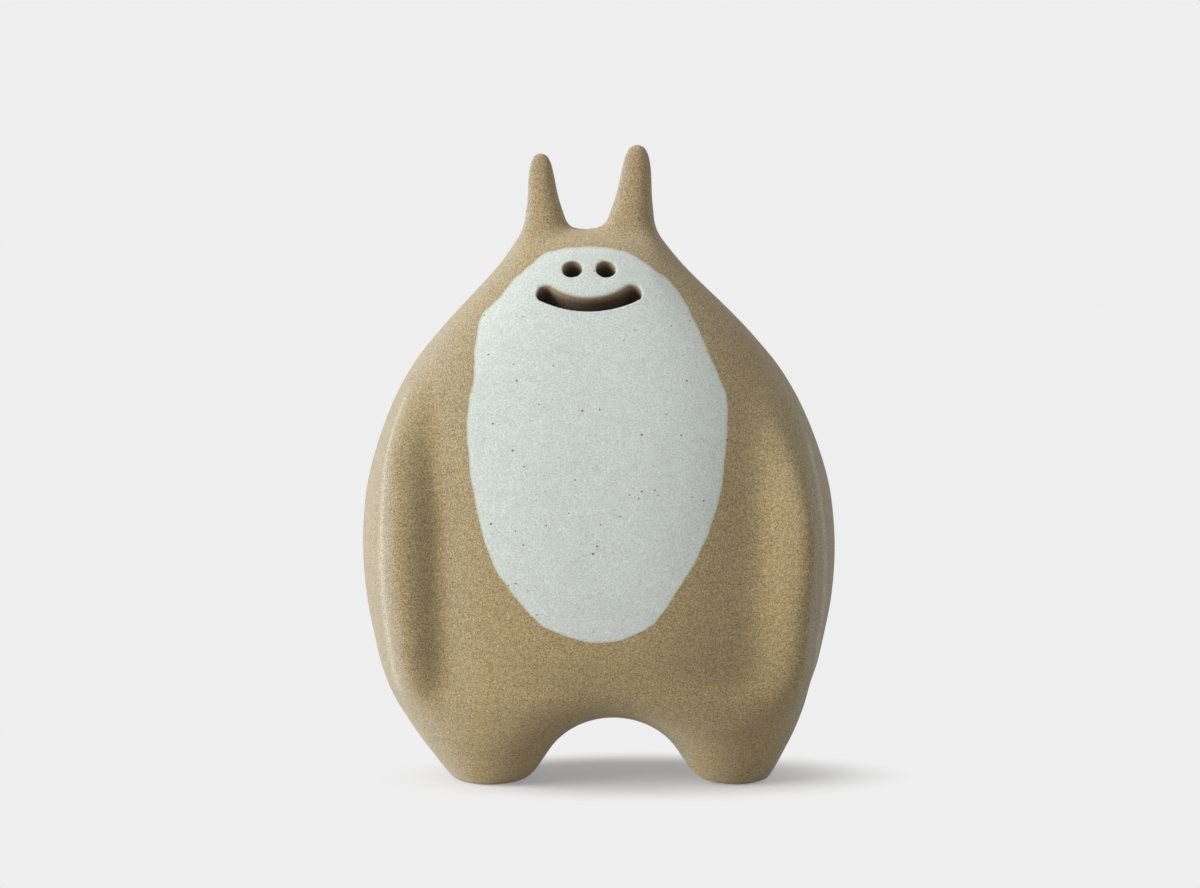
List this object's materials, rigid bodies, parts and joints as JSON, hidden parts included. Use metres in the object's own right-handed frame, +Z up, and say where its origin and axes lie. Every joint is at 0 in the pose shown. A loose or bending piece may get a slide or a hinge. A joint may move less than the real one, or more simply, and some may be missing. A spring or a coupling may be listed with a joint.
{
  "type": "figurine",
  "caption": "Small hollow stoneware creature with short horns, arms along its sides, stub legs and a pale belly panel with pierced eyes and smile; a standing shelf ornament.",
  "frame": {"origin": "on the table under the middle of the figure's bounding box", "axes": "+Z up from the soles to the horns; the figure faces -Y; +X to the viewer's right"},
  "size_m": [0.1107, 0.076, 0.1495],
  "materials": {
    "tan_stoneware": "unglazed, sanded, matt",
    "white_slip": "unglazed white slip, matt, finely specked"
  },
  "bodies": {
    "root": {"front_shell": "tan_stoneware", "back_shell": "tan_stoneware", "slip_panel": "white_slip", "left_horn": "tan_stoneware", "right_horn": "tan_stoneware", "left_arm": "tan_stoneware", "right_arm": "tan_stoneware", "left_leg": "tan_stoneware", "right_leg": "tan_stoneware"}
  },
  "joints": []
}
